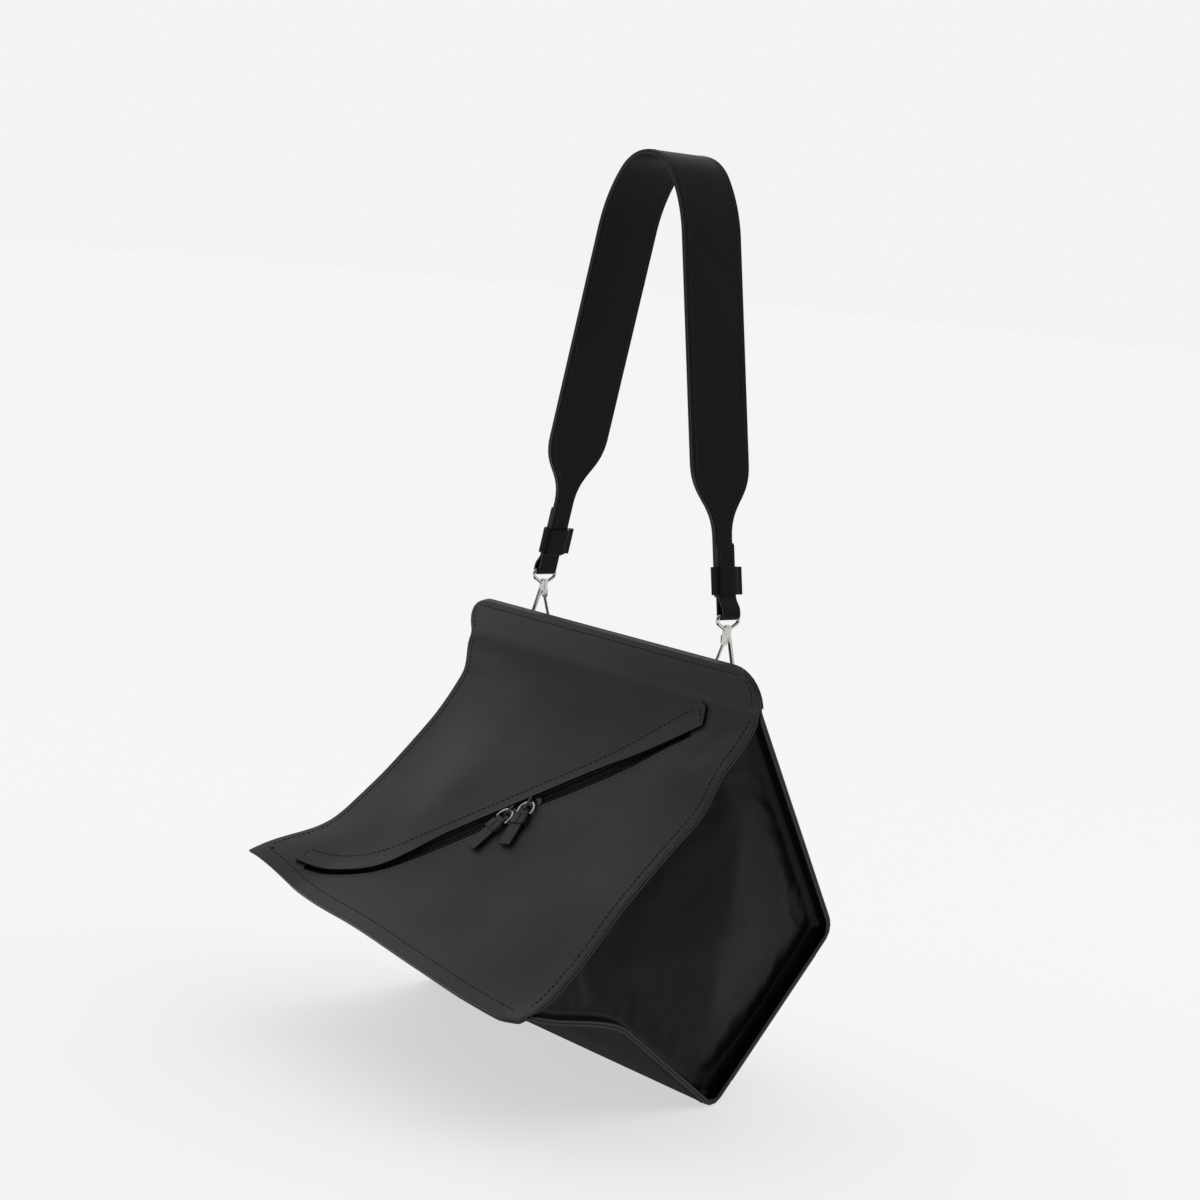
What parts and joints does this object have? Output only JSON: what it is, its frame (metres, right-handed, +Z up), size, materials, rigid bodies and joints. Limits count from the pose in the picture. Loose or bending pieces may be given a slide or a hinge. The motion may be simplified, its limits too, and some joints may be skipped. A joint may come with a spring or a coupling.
{
  "type": "shoulder bag",
  "caption": "Wedge-shaped black leather shoulder bag with a curved zip across its leaning front, hung by swivel hooks from one wide leather strap",
  "frame": {"origin": "middle of the strap's underside at its crown, where the bag hangs", "axes": "+X along the bag to the wearer's right as seen from the front, +Y towards the back, +Z up"},
  "size_m": [0.34, 0.2981, 0.6931],
  "materials": {
    "leather": "satin",
    "gusset_leather": "satin",
    "board": "matt",
    "zip_tape": "woven",
    "zip_teeth": "matt",
    "dark_metal": "satin",
    "nickel": "polished"
  },
  "bodies": {
    "strap": {"strap_outer": "leather", "strap_lining": "leather"},
    "bag": {"front_panel": "leather", "back_panel": "leather", "top_band": "leather", "base_panel": "leather", "underside_panel": "leather", "base_patch": "leather", "base_stiffener": "board", "gusset_left": "gusset_leather", "gusset_right": "gusset_leather", "zip_flap": "leather", "zip_tape_upper": "zip_tape", "zip_tape_lower": "zip_tape", "zip_teeth_upper": "zip_teeth", "zip_teeth_lower": "zip_teeth", "zip_end_stops": "dark_metal", "ring_tab_left": "leather", "ring_tab_right": "leather"},
    "keeper_left": {"strap_keeper_left": "leather"},
    "eye_left": {"swivel_eye_left": "nickel"},
    "hook_left": {"hook_body_left": "nickel", "gate_pin_left": "nickel"},
    "gate_left": {"gate_left": "nickel"},
    "d_ring_left": {"d_ring_left": "nickel"},
    "slider_left": {"zip_slider_left": "dark_metal"},
    "pull_ring_left": {"pull_ring_left": "nickel"},
    "pull_tab_left": {"pull_tab_left": "leather", "pull_band_left": "leather"},
    "keeper_right": {"strap_keeper_right": "leather"},
    "eye_right": {"swivel_eye_right": "nickel"},
    "hook_right": {"hook_body_right": "nickel", "gate_pin_right": "nickel"},
    "gate_right": {"gate_right": "nickel"},
    "d_ring_right": {"d_ring_right": "nickel"},
    "slider_right": {"zip_slider_right": "dark_metal"},
    "pull_ring_right": {"pull_ring_right": "nickel"},
    "pull_tab_right": {"pull_tab_right": "leather", "pull_band_right": "leather"}
  },
  "joints": [
    {"name": "bag_swing", "type": "hinge", "parent": "strap", "child": "bag", "pos_m": [0, -0.0105, -0.391], "axis": [1, 0, 0], "range_deg": [-20, 25]},
    {"name": "d_ring_left_turn", "type": "hinge", "parent": "bag", "child": "d_ring_left", "pos_m": [-0.108, -0.0105, -0.391], "axis": [1, 0, 0], "range_deg": [-26, 21]},
    {"name": "eye_left_swing", "type": "hinge", "parent": "strap", "child": "eye_left", "pos_m": [-0.108, 0, -0.3335], "axis": [0, 1, 0], "range_deg": [-3, 1.5]},
    {"name": "hook_left_swivel", "type": "hinge", "parent": "eye_left", "child": "hook_left", "pos_m": [-0.108, 0, -0.3442], "axis": [0, 0, 1], "range_deg": [-12, 25]},
    {"name": "gate_left_open", "type": "hinge", "parent": "hook_left", "child": "gate_left", "pos_m": [-0.10725, 0.0013, -0.354], "axis": [-0.866, 0.5, 0], "range_deg": [0, 25], "stiffness_Nm_per_rad": 0.005, "springref_deg": -20.05},
    {"name": "keeper_left_slide", "type": "slide", "parent": "strap", "child": "keeper_left", "axis": [0.1994, 0, 0.9799], "range_m": [-0.001, 0.01]},
    {"name": "zip_slider_left_slide", "type": "slide", "parent": "bag", "child": "slider_left", "axis": [-0.6934, -0.5135, -0.5054], "range_m": [0, 0.045]},
    {"name": "pull_ring_left_turn", "type": "hinge", "parent": "slider_left", "child": "pull_ring_left", "pos_m": [0.00333, -0.10421, -0.49921], "axis": [-0.9781, 0.1482, 0.1458], "range_deg": [0, 90]},
    {"name": "pull_tab_left_turn", "type": "hinge", "parent": "pull_ring_left", "child": "pull_tab_left", "pos_m": [0.00114, -0.11153, -0.50641], "axis": [-0.9781, 0.1482, 0.1458], "range_deg": [0, 80]},
    {"name": "d_ring_right_turn", "type": "hinge", "parent": "bag", "child": "d_ring_right", "pos_m": [0.108, -0.0105, -0.391], "axis": [1, 0, 0], "range_deg": [-26, 21]},
    {"name": "eye_right_swing", "type": "hinge", "parent": "strap", "child": "eye_right", "pos_m": [0.108, 0, -0.3335], "axis": [0, 1, 0], "range_deg": [-3, 1.5]},
    {"name": "hook_right_swivel", "type": "hinge", "parent": "eye_right", "child": "hook_right", "pos_m": [0.108, 0, -0.3442], "axis": [0, 0, 1], "range_deg": [-12, 25]},
    {"name": "gate_right_open", "type": "hinge", "parent": "hook_right", "child": "gate_right", "pos_m": [0.10725, -0.0013, -0.354], "axis": [0.866, -0.5, 0], "range_deg": [0, 25], "stiffness_Nm_per_rad": 0.005, "springref_deg": -20.05},
    {"name": "keeper_right_slide", "type": "slide", "parent": "strap", "child": "keeper_right", "axis": [-0.1994, 0, 0.9799], "range_m": [-0.001, 0.01]},
    {"name": "zip_slider_right_slide", "type": "slide", "parent": "bag", "child": "slider_right", "axis": [0.6934, 0.5135, 0.5054], "range_m": [0, 0.045]},
    {"name": "pull_ring_right_turn", "type": "hinge", "parent": "slider_right", "child": "pull_ring_right", "pos_m": [0.0147, -0.09579, -0.49092], "axis": [-0.9781, -0.1482, -0.1458], "range_deg": [0, 90]},
    {"name": "pull_tab_right_turn", "type": "hinge", "parent": "pull_ring_right", "child": "pull_tab_right", "pos_m": [0.01688, -0.10311, -0.49813], "axis": [-0.9781, -0.1482, -0.1458], "range_deg": [0, 80]}
  ],
  "couplings": [
    {"joint": "d_ring_left_turn", "follows": "bag_swing", "ratio": -1},
    {"joint": "d_ring_right_turn", "follows": "bag_swing", "ratio": -1}
  ]
}
